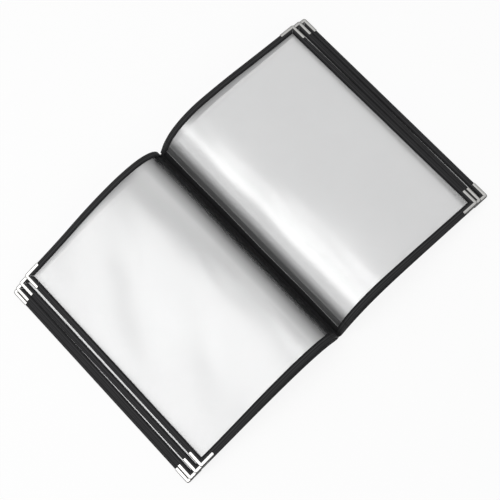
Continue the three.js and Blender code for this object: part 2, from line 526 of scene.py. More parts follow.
@dataclass(frozen=True)
class VinylFinish:
    """Clear pocket vinyl: a thin grey haze with slow clouds in it, and a strong gloss.

    A pocket's two sheets count as one film, so the haze is on the front face alone.
    """

    name: str
    tint: tuple[float, float, float] = (0.68, 0.683, 0.687)
    cloudy: tuple[float, float, float] = (0.74, 0.743, 0.746)
    cloud_cells: float = 9.0
    haze: float = 0.37
    haze_change: float = 0.03
    bend_haze: float = 0.26
    bend_at: float = 0.048
    bend_reach: float = 0.015
    # Painted shade in the gutter: the film is dark near the root, where the dark strip's shade and
    # reflection fall
    gutter_shade: tuple[float, float, float] = (0.02, 0.02, 0.021)
    gutter_shade_until: float = 0.0
    gutter_shade_reach: float = 0.001
    edge_tint: tuple[float, float, float] = (0.62, 0.62, 0.62)
    edge_gain: float = 3.0
    # Painted shadow of the fore-edge border on the film beside it, darker and hazier near the
    # border
    shaded: tuple[float, float, float] = (0.10, 0.10, 0.10)
    shade: float = 0.0
    shade_haze: float = 0.24
    shade_from: float = 0.2285
    shade_lean: float = 0.012
    shade_reach: float = 0.005
    roughness: float = 0.28
    index: float = 2.1

    def material(self) -> bpy.types.Material:
        """Builds the material, clear enough to show what lies below.

        The colour carries a painted shade in the gutter, dark up to a distance x from the root
        where the dark strip's shade and reflection fall, and clears by
        (x - gutter_shade_until) / gutter_shade_reach held from 0 to 1. Where the film carried is
        over 1, as along the cut edge of a flap, the colour goes over to the edge tint.
        Beside the fore-edge border it carries a painted shadow of the border, darker by
        (x - shade_lean * y - shade_from) / shade_reach held from 0 to 1, with the haze raised
        to match.

        Alpha is the haze, plus slow noise, plus bend_haze / (1 + ((x - bend_at) / reach)^4)
        for the stretch beside the spine that bends whenever the leaf is turned. All of it
        is multiplied by the film carried by each point of the piece.

        Returns:
            The material.
        """
        shader = Shader(self.name)
        surface = shader.coordinates("UV")
        clouds = shader.noise(surface, self.cloud_cells)
        split = shader.node("SeparateXYZ", Vector=surface)
        along = shader.value(split.outputs[0])
        across = shader.value(split.outputs[1])
        # Painted shade in the gutter, clearing outward from the root
        out_of_gutter_shade = ((along - self.gutter_shade_until) / self.gutter_shade_reach).held()
        offset = (along - self.bend_at) / self.bend_reach
        squared = offset * offset
        bend = self.bend_haze / (squared * squared + 1.0)
        # Painted shadow beside the fore-edge border
        beside = (along - across * self.shade_lean - self.shade_from) / self.shade_reach
        shade = beside.held() * self.shade
        film = shader.painted_light_and_film()
        cut_edge = ((film - 1.0) * self.edge_gain).held()
        haze = self.haze + clouds * self.haze_change + bend + shade * self.shade_haze
        body = shader.mix_colour(
            out_of_gutter_shade, self.gutter_shade, shader.mix_colour(clouds, self.tint, self.cloudy)
        )
        body = shader.mix_colour(shade, body, self.shaded)
        principled = shader.node(
            "BsdfPrincipled",
            Base_Color=shader.mix_colour(cut_edge, body, self.edge_tint),
            Roughness=self.roughness,
            Alpha=haze * film,
            IOR=self.index,
            Specular_IOR_Level=1.0,
        )
        return shader.finish(principled.outputs[0])


@dataclass(frozen=True)
class MetalFinish:
    """Nickel plated steel, faint rolled grain, painted dark reflection on folds and edges."""

    name: str
    bright: tuple[float, float, float] = (0.57, 0.565, 0.55)
    # Painted dark reflection for the folds and edges, and painted shade for the pressed line
    dark_reflection: tuple[float, float, float] = (0.04, 0.039, 0.038)
    level: float = 0.85
    grain_cells: float = 900.0
    grain_tone: float = 0.08
    grain_depth: float = 0.00002
    bump_strength: float = 0.5
    smear_cells: float = 120.0
    smear_tone: float = 0.12
    roughness: float = 0.22
    smear_roughness: float = 0.12

    def material(self) -> bpy.types.Material:
        """Builds the material.

        The colour goes from dark to bright with a level, plus fine grain and slow smears,
        less the painted dark reflection that each point carries, so that folds, edges and
        the pressed line go dark.

        Returns:
            The material.
        """
        shader = Shader(self.name)
        place = shader.coordinates("Object")
        grain = shader.noise(place, self.grain_cells, 3.0)
        smears = shader.noise(place, self.smear_cells)
        tone = smears * self.smear_tone + grain * self.grain_tone + self.level
        # The colour darkens by the painted dark reflection that each point carries
        principled = shader.node(
            "BsdfPrincipled",
            Base_Color=shader.mix_colour(tone - shader.painted_light_and_film(), self.dark_reflection, self.bright),
            Metallic=1.0,
            Roughness=self.roughness + smears * self.smear_roughness,
            Normal=shader.bump(grain, self.grain_depth, self.bump_strength),
        )
        return shader.finish(principled.outputs[0])


@dataclass(frozen=True)
class FloorFinish:
    """White sweep that reads as plain white to the camera and keeps a faint shadow."""

    name: str = "white_floor"
    own_light: float = 0.88
    paper: tuple[float, float, float, float] = (0.9, 0.9, 0.9, 1.0)

    def material(self) -> bpy.types.Material:
        """Builds the material: white paper, with own light for camera and mirror rays.

        Returns:
            The material.
        """
        shader = Shader(self.name)
        share = shown_ray(shader.tree) * self.own_light
        paper = shader.node("BsdfDiffuse", Color=self.paper)
        light = shader.node("Emission", Color=(1.0, 1.0, 1.0, 1.0), Strength=1.0)
        mix = shader.node("MixShader")
        shader.connect(mix.inputs[0], share)
        shader.connect(mix.inputs[1], paper.outputs[0])
        shader.connect(mix.inputs[2], light.outputs[0])
        return shader.finish(mix.outputs[0])


class Finishes:
    """The materials of the cover, each made once."""

    def __init__(self) -> None:
        """Builds every material."""
        self.tape = ClothFinish("sewn_border_cloth").material()
        self.strip = ClothFinish(
            "hinge_strip_cloth", dark=(0.011, 0.011, 0.0115), light=(0.072, 0.072, 0.074)
        ).material()
        self.thread = ClothFinish(
            "stitch_thread",
            dark=(0.03, 0.03, 0.032),
            light=(0.075, 0.075, 0.08),
            grain_cells=3000.0,
            grain_depth=0.00005,
        ).material()
        # Left and right films differ in where their painted gutter shade ends and in how dark the
        # painted shadow beside the fore-edge border is
        self.vinyl = {
            Hand.LEFT: VinylFinish(
                "clear_pocket_vinyl_left", gutter_shade_until=0.029, gutter_shade_reach=0.024, shade=0.4
            ).material(),
            Hand.RIGHT: VinylFinish(
                "clear_pocket_vinyl_right", gutter_shade_until=0.012, gutter_shade_reach=0.022, shade=1.0
            ).material(),
        }
        self.flap = VinylFinish(
            "clear_flap_vinyl",
            tint=(0.13, 0.131, 0.133),
            cloudy=(0.19, 0.191, 0.193),
            haze=0.66,
            bend_haze=0.0,
        ).material()
        self.metal = MetalFinish("nickel_corner").material()
        self.floor = FloorFinish().material()


# The leaf


@dataclass(frozen=True)
class LeafSizes:
    """Sizes that every leaf shares, measured on the flat leaf."""

    width: float = LEAF_WIDTH
    height: float = LEAF_HEIGHT

    # Sewn border
    border: float = 8.2
    tape: float = 0.5
    tape_lip: float = 0.12
    tape_lip_drop: float = 0.2
    tape_face_start: float = 0.4
    tape_inside_at: float = 5.0
    slot: float = 1.5
    gap: float = 0.3
    groove: float = 0.20
    groove_width: float = 0.70
    swell: float = 0.10

    # Cloth strip
    strip_width: float = 25.5
    crease_at: float = 25.8
    strip_above: float = -0.4
    strip_thickness: float = 0.5
    strip_bound: float = 9.0
    strip_thin_from: float = 3.0
    strip_thin_reach: float = 11.0
    strip_wear: float = 0.1
    least_sheet: float = 10.0

    # Stitches
    stitch_line: float = 6.4
    stitch_pitch: float = 3.2
    stitch_length: float = 2.5
    stitch_clear: float = 1.5
    stitch_start: float = 2.0
    stitch_sink: float = 0.12
    stitch_rise: float = 0.16
    thread_radius: float = 0.19

    # Clear pocket, with the slack and the haze of its film
    pocket_start: float = 26.1
    mouth_lap: float = 3.0
    pocket_half: float = 0.45
    back_slack: float = 0.9
    wave_heights: tuple[float, ...] = (0.62, 0.44, 0.30, 0.16)
    wave_turns: tuple[float, float] = (2.4, 3.0)
    wave_fade: float = 0.6
    top_slack: float = 1.6
    lower_slack: float = 0.9
    film_start: float = 26.0
    film_reach: float = 2.6

    # Metal corner
    plate: float = 0.3
    corner_leg: float = 22.4
    corner_width: float = 4.4
    corner_radius: float = 3.4
    corner_wall: float = 0.95
    corner_crown: float = 0.035
    corner_sink: float = 0.04
    corner_lip_drop: float = 0.16
    corner_end_round: float = 0.8
    corner_notch: float = 0.5
    corner_notch_turn: float = 0.30
    bend_radius: float = 0.35
    pressed_line: float = 0.10
    pressed_width: float = 0.26
    # Painted shade in the corner's pressed line, and painted dark reflection on its inner edge and
    # fold
    pressed_shade: float = 0.50
    edge_reflection: float = 0.95
    edge_reflection_width: float = 0.55
    fold_reflection_end: float = 1.6
    fold_reflection_reach: float = 0.9

    # Flap of the front sheet over the strip
    flap_start: float = 12.0
    flap_least: float = 1.0
    flap_wander: float = 0.5
    flap_wave: float = 21.0
    flap_top: float = 0.16
    flap_under: float = -0.10
    flap_lift: float = 0.29
    flap_edge_film: float = 1.45

    @property
    def half_border(self) -> float:
        """Half the thickness of the sewn border."""
        return self.slot / 2 + self.tape

    @property
    def tape_cut(self) -> float:
        """Width of the flat tape before it is folded round the edge."""
        return 2 * (self.border - self.half_border) + math.pi * self.half_border

    @property
    def pocket_edge(self) -> float:
        """Distance from the outer edge of the leaf to the edge of its clear sheets."""
        return self.tape + self.half_border - self.slot / 2 + self.gap

    @property
    def mouth(self) -> float:
        """Distance from the root to the edge of the front sheet, where it laps the strip."""
        return self.strip_width - self.mouth_lap


@dataclass
class LeafCurve:
    """Line that the middle layer of a leaf follows, seen along the spine.

    Its slope at a distance s from the root is share * arch(s) + tilt, where arch is read
    between stops. The line is the running sum of (cos, sin) of the slope over short steps.
    """

    stops: tuple[float, ...]
    slopes: tuple[float, ...]
    share: float
    tilt: float
    root: tuple[float, float]
    hand: Hand
    twist: tuple[float, float] = (0.0, 0.0)
    height: float = LEAF_HEIGHT
    step: float = 0.5
    _x: np.ndarray = field(init=False, repr=False)
    _z: np.ndarray = field(init=False, repr=False)
    _s: np.ndarray = field(init=False, repr=False)

    def __post_init__(self) -> None:
        """Walks the line once and keeps its points."""
        count = int(math.ceil(self.stops[-1] / self.step))
        middles = (np.arange(count) + 0.5) * self.step
        slope = self.slope(middles)
        self._s = np.arange(count + 1) * self.step
        self._x = self.root[0] + np.concatenate([[0], np.cumsum(np.cos(slope))]) * self.step
        self._z = self.root[1] + np.concatenate([[0], np.cumsum(np.sin(slope))]) * self.step

    def slope(self, along: np.ndarray) -> np.ndarray:
        """Slope in radians at distances along the leaf."""
        arch = np.interp(along, self.stops, self.slopes)
        return np.radians(arch * self.share + self.tilt)

    def place(self, along: np.ndarray, across: np.ndarray, above: np.ndarray) -> np.ndarray:
        """Points in the row frame, in metres, from places on the flat leaf.

        A point is line(s) + above * normal(s), with across kept as Y and the sign of X
        set by the hand. The leaf lies slightly turned on its stack: s grows by the twist,
        read between its values at the near and far ends, times s / width.

        Args:
            along: Distances from the root along the leaf.
            across: Places along the spine.
            above: Heights above the middle layer.

        Returns:
            An array with one more axis of size 3.
        """
        along, across, above = np.broadcast_arrays(along, across, above)
        near, far = self.twist
        part = across / self.height + 0.5
        along = along + (near * (1 - part) + far * part) * along / self.stops[-1]
        slope = self.slope(along)
        beyond = np.maximum(0.0, along - self._s[-1]) + np.minimum(0.0, along)
        x = np.interp(along, self._s, self._x) + beyond * np.cos(slope) - above * np.sin(slope)
        z = np.interp(along, self._s, self._z) + beyond * np.sin(slope) + above * np.cos(slope)
        sign = float(self.hand.value)
        return np.stack([sign * x, across, z], axis=-1) * MM


# Slope of each side's top leaf at distances from its root, and where the roots lie.
ARCH_STOPS = (0.0, 15.0, 32.0, 58.0, 95.0, 158.0, 221.2, LEAF_WIDTH)
ARCH_SLOPES = {
    Hand.LEFT: (86.0, 73.3, 43.3, 11.6, -5.3, -17.1, -10.7, -10.7),
    Hand.RIGHT: (60.0, 57.8, 44.1, 17.9, -8.7, -15.6, -13.8, -13.8),
}
ROOT_HEIGHT = 6.35
ROOT_CLEAR = 0.85
ROOT_PITCH = 1.05

# How many points each grid has: rows first, then columns.
TAPE_FACE_POINTS = 16
LONG_TAPE_RINGS = 64
FORE_TAPE_RINGS = 60
WINDOW_GRID = (84, 72)
STRIP_GRID = (10, 56)
FLAP_COLUMNS = 70
CUSHION_GRID = (33, 80)

# Painted highlight on the tape's fold and two flat ridges, darker in the stitch groove:
# strength, depth and width of each bell curve.
TAPE_HIGHLIGHTS = ((0.40, 0.4, 0.7), (0.65, 4.8, 0.8), (0.50, 2.2, 0.7))

# Depths of the strip's points over its bound ends, and shares along a length of flap.
BOUND_DEPTHS = (
    0.0, 0.06, 0.2, 0.45, 0.8, 1.25, 2.2, 3.4, 4.4, 5.2, 5.8, 6.4, 7.0, 7.6, 8.1, 8.2, 8.35
)
FLAP_SHARES = (0.0, 0.08, 0.16, 0.3, 0.5, 0.75, 1.0)

# Shares along a stitch, with how thick the thread is at each.
STITCH_SHARES = (0.0, 0.14, 0.5, 0.86, 1.0)
STITCH_GIRTHS = (0.35, 0.9, 1.0, 0.9, 0.35)
THREAD_SIDES = 5

# Shares of a corner's leg and width that its face has points at, and its inner side.
CORNER_LEG_SHARES = (0.0, 0.03, 0.12, 0.5, 1.0)
CORNER_SHARES = (1.0, 0.97, 0.92, 0.80, 0.66, 0.58, 0.50, 0.42, 0.34, 0.27)
CORNER_INSIDE = ((1.15, -1.42), (0.38, -0.9), (0.3, 0.0), (0.38, 0.9), (1.15, 1.42))


@dataclass
class PocketLeaf:
    """One leaf: a clear pocket in a cloth border, on a cloth strip from the spine."""

    name: str
    curve: LeafCurve
    chain: tuple[str, ...]
    finishes: Finishes
    seed: int
    sizes: LeafSizes = field(default_factory=LeafSizes)

    @property
    def body(self) -> str:
        """Name of the body that the leaf turns with."""
        return self.chain[-1]

    @property
    def on_top(self) -> bool:
        """Whether the leaf is the top one of its stack."""
        return self.body.endswith("_leaf_1")

    @property
    def marks(self) -> np.ndarray:
        """Distances from the root at which the lengths of the strip start and end."""
        return np.linspace(0.0, self.sizes.crease_at, len(self.chain))

    def dress(self, obj: bpy.types.Object, material: bpy.types.Material) -> None:
        """Gives a piece its material.

        Args:
            obj: The piece.
            material: Its material.
        """
        obj.data.materials.clear()
        obj.data.materials.append(material)

    def tape_face(self, depth: np.ndarray) -> np.ndarray:
        """Height of the tape's face above the middle layer, at depths in from the edge.

        Outside a depth r equal to half the border's thickness it is the round fold,
        sqrt(r^2 - (r - d)^2). Inside it is r, less a groove along the stitches in the form
        of a bell curve, plus a slight swell between the fold and the inner edge.

        Args:
            depth: Depths in from the outer edge of the border.

        Returns:
            The heights, one for each depth.
        """
        size = self.sizes
        half = size.half_border
        fold = np.sqrt(np.clip(half**2 - (half - np.minimum(depth, half)) ** 2, 0, None))
        groove = size.groove * bell(depth, size.stitch_line, size.groove_width)
        inward = np.clip((depth - half) / (size.border - half), 0, 1)
        return fold - groove + size.swell * np.sin(np.pi * inward)

    def tape_highlight(self, depth: np.ndarray) -> np.ndarray:
        """Painted highlight on the tape: three bell curves, on the fold and on two flat ridges."""
        return sum(strength * bell(depth, at, width) for strength, at, width in TAPE_HIGHLIGHTS)

    def section(self) -> tuple[np.ndarray, np.ndarray]:
        """Closed section of the folded tape.

        Returns:
            Its (depth, height) pairs, one row each, and the painted highlight at each point.
        """
        size = self.sizes
        half, slot = size.half_border, size.slot / 2
        flat = np.linspace(size.border - size.tape_face_start, half, TAPE_FACE_POINTS)
        depth = np.concatenate([[size.border, size.border - size.tape_lip], flat])
        face = self.tape_face(depth)
        face[0] -= size.tape_lip_drop
        inner = np.array([size.border, size.tape_inside_at, size.tape + half - slot])
        inside = np.stack([np.append(inner, inner[::-1]), np.repeat([-slot, slot], 3)], axis=1)
        section = folded_outline(depth, face, half, half, inside)
        return section, self.tape_highlight(section[:, 0])

    def sheet(
        self, width: float, length: float
    ) -> None:
        """Works out a sheet's width and length in metres, from millimetres, and does nothing with
        them.
        """
        width * MM
        length * MM

    def section_run(self, section: np.ndarray) -> np.ndarray:
        """Distance walked round the section up to each of its points."""
        steps = np.linalg.norm(np.diff(section, axis=0), axis=1)
        return np.concatenate([[0.0], np.cumsum(steps)])

    def tape(self, label: str, edge: int = 0) -> None:
        """Folded tape carried along one edge, cut in a mitre where it meets another.

        The far and near tapes run out from the pocket's start to the fore-edge, and the
        fore-edge tape runs from one long edge to the other. A point at a depth d in the
        section stops d short of the corner.

        Args:
            label: Which edge, for the piece's name and the node it replaces.
            edge: 1 for the far edge, -1 for the near edge and 0 for the fore-edge.
        """
        size = self.sizes
        # The section, with the painted highlight on its fold and ridges
        section, painted_light_and_film = self.section()
        depth = section[None, :, 0]
        if edge:
            t = np.linspace(0.0, 1.0, LONG_TAPE_RINGS)[:, None]
            end = size.width - depth - size.gap
            travel = along = size.pocket_start + t * (end - size.pocket_start)
            across = edge * (size.height / 2 - depth) + 0 * t
            length = size.width - size.pocket_start
        else:
            t = np.linspace(-1.0, 1.0, FORE_TAPE_RINGS)[:, None]
            travel = across = t * (size.height / 2 - depth - size.gap)
            along = size.width - depth + 0 * t
            length = size.height
        rings = self.curve.place(along, across, section[None, :, 1])
        uv = surface_map(travel, self.section_run(section)[None, :])
        obj = tube(f"{self.name}_{label}_tape", rings, uv, painted_light_and_film)
        self.dress(obj, self.finishes.tape)
        self.sheet(size.tape_cut, length)
        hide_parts(f"{self.name}_{label}_binding")
        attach(obj, self.body)

    def waves(self, u: np.ndarray, v: np.ndarray) -> np.ndarray:
        """Height of the slack in the vinyl over the window, zero at its edges.

        It is a sum of slow sine waves of random direction and phase, times a power of
        sin(pi u) sin(pi v). The top leaf, with nothing on it, is the slackest.

        Args:
            u: Shares of the window's width, from the spine out.
            v: Shares of its height, from the near edge to the far one.

        Returns:
            The heights, on the grid of u and v.
        """
        size = self.sizes
        rng = np.random.default_rng(self.seed)
        height = np.zeros(np.broadcast(u, v).shape)
        most_u, most_v = size.wave_turns
        for amplitude in size.wave_heights:
            turns_u = rng.uniform(-most_u, most_u)
            turns_v = rng.uniform(-most_v, most_v)
            phase = rng.uniform(0, 2 * math.pi)
            height += amplitude * np.sin(2 * math.pi * (turns_u * u + turns_v * v) + phase)
        fade = (np.sin(math.pi * u) * np.sin(math.pi * v)).clip(0, 1) ** size.wave_fade
        return height * fade * (size.top_slack if self.on_top else size.lower_slack)

    def film(self, along: np.ndarray) -> np.ndarray:
        """How much of the vinyl's haze shows, at distances along the leaf.

        On the left the film lies tight on the strip and starts to show at the crease, where
        (s - film_start) / film_reach is held from 0 to 1. On the right it shows all over.

        Args:
            along: Distances from the root.

        Returns:
            Shares of the haze, one for each distance.
        """
        if self.curve.hand is Hand.RIGHT:
            return np.ones(along.shape)
        return np.clip((along - self.sizes.film_start) / self.sizes.film_reach, 0.0, 1.0)

    def pocket(self) -> None:
        """Clear pocket: the front and back sheets as one closed skin with a page's space."""
        size = self.sizes
        rows, columns = WINDOW_GRID
        u = np.linspace(0.0, 1.0, rows)[:, None]
        v = np.linspace(0.0, 1.0, columns)[None, :]
        end = size.width - size.pocket_edge
        half = size.height / 2 - size.pocket_edge
        across = (2 * v - 1) * half
        front_along = size.mouth + u * (end - size.mouth)
        back_along = size.pocket_start + u * (end - size.pocket_start)
        slack = self.waves(u, v)
        top = self.curve.place(front_along, across, size.pocket_half + slack)
        bottom = self.curve.place(
            back_along, across, -size.pocket_half + slack * size.back_slack
        )
        front = self.film(front_along + 0 * across)
        film = np.stack([front, 0.0 * front])
        obj = slab(f"{self.name}_pocket", top, bottom, surface_map(front_along, across), film)
        self.dress(obj, self.finishes.vinyl[self.curve.hand])
        self.sheet(end - size.mouth, 2 * half)
        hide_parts(f"{self.name}_front_sheet", f"{self.name}_back_sheet")
        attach(obj, self.body)

    def stitch_centres(self) -> tuple[np.ndarray, np.ndarray, np.ndarray, np.ndarray]:
        """Middles and directions of the stitches, round three edges of the flat leaf.

        Returns:
            Places along and across the leaf, then the same two parts of the directions.
        """
        size = self.sizes
        long_end = size.width - size.stitch_line - size.stitch_clear
        long_count = int((long_end - size.pocket_start - size.stitch_start) / size.stitch_pitch)
        long_run = long_end - (np.arange(long_count) + 0.5) * size.stitch_pitch
        half = size.height / 2 - size.stitch_line
        short_count = int((2 * half - 2 * size.stitch_clear) / size.stitch_pitch)
        short_run = (np.arange(short_count) - (short_count - 1) / 2) * size.stitch_pitch
        short_along = np.full(short_count, size.width - size.stitch_line)
        along = np.concatenate([long_run, long_run, short_along])
        across = np.concatenate([np.full(long_count, half), np.full(long_count, -half), short_run])
        run_along = np.concatenate([np.ones(2 * long_count), np.zeros(short_count)])
        return along, across, run_along, 1 - run_along

    def stitching(self) -> None:
        """Row of thread stitches on both faces of the border.

        Stitch k is a short tube: centre c_k + d_k * length * (t - 1/2), raised by
        stitch_rise * sin(pi t), with a radius that closes in at both ends.
        """
        size = self.sizes
        along, across, da, dc = self.stitch_centres()
        t = np.array(STITCH_SHARES)
        radius = size.thread_radius * np.array(STITCH_GIRTHS)
        angle = np.arange(THREAD_SIDES) * 2 * math.pi / THREAD_SIDES
        run = size.stitch_length * (t - 0.5)
        side = radius[:, None] * np.cos(angle)[None, :]
        rise = radius[:, None] * np.sin(angle)[None, :]
        rise = rise + size.stitch_rise * np.sin(math.pi * t)[:, None]
        grids = []
        for face in (1, -1):
            a = along[:, None, None] + da[:, None, None] * run[None, :, None]
            a = a + dc[:, None, None] * side[None]
            c = across[:, None, None] + dc[:, None, None] * run[None, :, None]
            c = c + da[:, None, None] * side[None]
            h = face * (size.half_border - size.stitch_sink + rise)[None] + 0 * a
            grids.append(self.curve.place(a, c, h))
        rings = np.concatenate(grids)
        count, steps, around = rings.shape[:3]
        base = np.arange(count)[:, None, None] * steps * around
        quads = (base + ring_quads(steps, around)[None]).reshape(-1, 4)
        first = np.arange(around)[None, ::-1] + base[:, :, 0]
        last = (steps - 1) * around + np.arange(around)[None] + base[:, :, 0]
        faces = [tuple(f) for f in quads.tolist()]
        faces += [tuple(f) for f in np.concatenate([first, last]).tolist()]
        points = rings.reshape(-1, 3)
        obj = mesh_object(f"{self.name}_stitching", points, faces, points[:, :2])
        self.dress(obj, self.finishes.thread)
        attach(obj, self.body)

    def bent_length(self, obj: bpy.types.Object, index: int, above: float) -> None:
        """Works out the ends of one length of the strip, and bakes its transform into its mesh.

        Args:
            obj: The length of cloth, or the flap on it.
            index: Its number, counted from the spine.
            above: Height of its middle above the leaf's middle layer.
        """
        start_point = self.curve.place(self.marks[index], 0.0, above)
        end_point = self.curve.place(self.marks[index + 1], 0.0, above)
        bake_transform(obj)

    def strip(self) -> None:
        """Cloth strip from the spine to the crease, in one length for each joint of the leaf.

        The strip is drawn along the leaf's own curve. The two ends of the strip are bound like
        the rest of the leaf, and thin out towards the spine by 3t^2 - 2t^3, with
        t = (s - strip_thin_from) / strip_thin_reach held from 0 to 1.
        """
        size, marks = self.sizes, self.marks
        count = len(marks) - 1
        rows, columns = STRIP_GRID
        half = size.height / 2
        bound = np.array(BOUND_DEPTHS)
        middle = np.linspace(-(half - size.strip_bound), half - size.strip_bound, columns)
        across = np.concatenate([-(half - bound), middle, (half - bound)[::-1]])[None, :]
        depth = half - np.abs(across)
        bent_over = depth <= size.border
        face = np.where(bent_over, self.tape_face(depth), 0.0)
        # Painted highlight on the bound ends' fold and ridges, a flat share on the rest
        painted_light_and_film = np.where(bent_over, self.tape_highlight(depth), size.strip_wear)
        flat_top = size.strip_above + size.strip_thickness / 2
        flat_under = size.strip_above - size.strip_thickness / 2
        for i in range(count):
            last = i == count - 1
            end = size.strip_width if last else marks[i + 1]
            along = np.linspace(marks[i], end, rows)[:, None]
            t = np.clip((along - size.strip_thin_from) / size.strip_thin_reach, 0, 1)
            share = (3 * t**2 - 2 * t**3) * bent_over
            top = self.curve.place(along, across, flat_top * (1 - share) + face * share)
            bottom = self.curve.place(along, across, flat_under * (1 - share) - face * share)
            name = f"{self.name}_strip_{i + 1}"
            obj = slab(name, top, bottom, surface_map(along, across), painted_light_and_film + 0 * along)
            self.dress(obj, self.finishes.strip)
            max(end - marks[i], size.least_sheet) * MM
            size.height * MM
            (end - marks[i]) * size.height * MM**2
            if last:
                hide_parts(f"{self.name}_hinge_strip")
            self.bent_length(obj, i, size.strip_above)

    def flap(self) -> None:
        """Edge of the front sheet that lies over the strip, in the strip's own lengths.

        Its cut edge wanders by flap_wander * sin(y / flap_wave + seed), and it rises off
        the strip with the square of the share of its width.
        """
        size, marks = self.sizes, self.marks
        half = size.height / 2 - size.border
        across = np.linspace(-half, half, FLAP_COLUMNS)[None, :]
        t = np.array(FLAP_SHARES)[:, None]
        for i in range(len(marks) - 1):
            start, end = max(marks[i], size.flap_start), min(marks[i + 1], size.mouth)
            if end - start < size.flap_least:
                continue
            along = start + (end - start) * t + 0 * across
            front = np.full(along.shape, 0.0 if self.curve.hand is Hand.LEFT else 1.0)
            if start == size.flap_start:
                wander = np.sin(across / size.flap_wave + self.seed) * (1 - t)
                along = along + size.flap_wander * wander
                front[:2] = size.flap_edge_film
            out = np.clip((along - size.flap_start) / (size.mouth - size.flap_start), 0, 1)
            lift = size.flap_lift * out**2
            top = self.curve.place(along, across, size.flap_top + lift)
            bottom = self.curve.place(along, across, size.flap_under + lift)
            film = np.stack([front, 0.0 * front])
            name = f"{self.name}_flap_{i + 1}"
            obj = slab(name, top, bottom, surface_map(along, across), film)
            self.dress(obj, self.finishes.flap)
            self.bent_length(obj, i, 0.0)

    def corner_section(self) -> tuple[np.ndarray, np.ndarray]:
        """Closed section of the metal folded round the border, and its painted dark reflection.

        The face is crowned by the square of the distance from its middle, less a pressed
        line in the form of a bell curve. A painted dark reflection lies beside its inner edge,
        by a bell curve, and over the fold, by a ramp, and a painted shade lies in the pressed
        line, by a bell curve.

        Returns:
            Its (depth, height) pairs, one row each, and the painted dark reflection at each point.
        """
        size = self.sizes
        width, middle = size.corner_width, size.corner_width / 2
        depth = np.append(np.array(CORNER_SHARES) * width, size.corner_wall)
        pressed = size.pressed_line * bell(depth, middle, size.pressed_width)
        crown = size.corner_crown * (depth - middle) ** 2
        flat = size.half_border + size.gap + size.plate - size.corner_sink
        face = flat - crown - pressed
        face[0] -= size.corner_lip_drop
        inner = face[0] - size.plate
        inside = np.array([(width, -inner), *CORNER_INSIDE, (width, inner)])
        section = folded_outline(depth, face, size.corner_wall, face[-1], inside)
        inward = section[:, 0]
        dark_reflection = size.edge_reflection * bell(inward, width, size.edge_reflection_width)
        dark_reflection += size.pressed_shade * bell(inward, middle, size.pressed_width)
        over = (size.fold_reflection_end - inward) / size.fold_reflection_reach
        dark_reflection += size.edge_reflection * np.clip(over, 0, 1)
        return section, dark_reflection

    def corner(self, label: str, edge: int) -> None:
        """Metal corner: one strip folded round the border and bent to an L on its flat.

        The line at depth d runs along one leg, round an arc of radius R - d and along the
        other leg. Where R - d is under the least bend radius that radius is used instead.
        The inner edge is notched at the bend, where the metal would otherwise bunch up, and
        the legs' ends are rounded by the fifth power of the distance from their middle.

        Args:
            label: Which corner, for the piece's name and the node it replaces.
            edge: 1 for the far corner and -1 for the near corner.
        """
        size = self.sizes
        # The section, with the painted dark reflection of each point
        section, dark_reflection = self.corner_section()
        depth, high = section[:, 0], section[:, 1]
        radius = np.maximum(size.corner_radius - depth, size.bend_radius)
        inset = depth + radius
        share = depth / size.corner_width
        middle = (share - 0.5) * 2
        leg = size.corner_leg - size.corner_end_round * np.abs(middle) ** 5
        t = np.array(CORNER_LEG_SHARES)[:, None]
        run = leg + (inset - leg) * t
        turn = np.linspace(0, math.pi / 2, FOLD_STEPS)[1:-1, None]
        bunched = bell(turn, math.pi / 4, size.corner_notch_turn) * share**4
        notch = 1 - size.corner_notch * bunched
        bend_x = (inset - radius * np.sin(turn)) * notch
        bend_y = (inset - radius * np.cos(turn)) * notch
        in_x = np.concatenate([run, bend_x, depth + 0 * run])
        in_y = np.concatenate([depth + 0 * run, bend_y, run[::-1]])
        out = size.gap + size.plate
        along = size.width + out - in_x
        across = edge * (size.height / 2 + out - in_y)
        rings = self.curve.place(along, across, high + 0 * in_x)
        walked = np.linspace(0, 2 * size.corner_leg, len(in_x))[:, None]
        uv = surface_map(walked, self.section_run(section)[None, :])
        obj = tube(f"{self.name}_{label}_metal_corner", rings, uv, dark_reflection)
        self.dress(obj, self.finishes.metal)
        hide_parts(f"{self.name}_{label}_corner")
        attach(obj, self.body)

    def build(self) -> None:
        """Builds every piece of the leaf."""
        self.tape("far", 1)
        self.tape("near", -1)
        self.tape("fore_edge")
        self.pocket()
        self.stitching()
        self.strip()
        self.flap()
        self.corner("far", 1)
        self.corner("near", -1)
        LOG.info("leaf %s: tapes, pocket, stitching, strip and corners", self.name)


# The spine and the whole cover


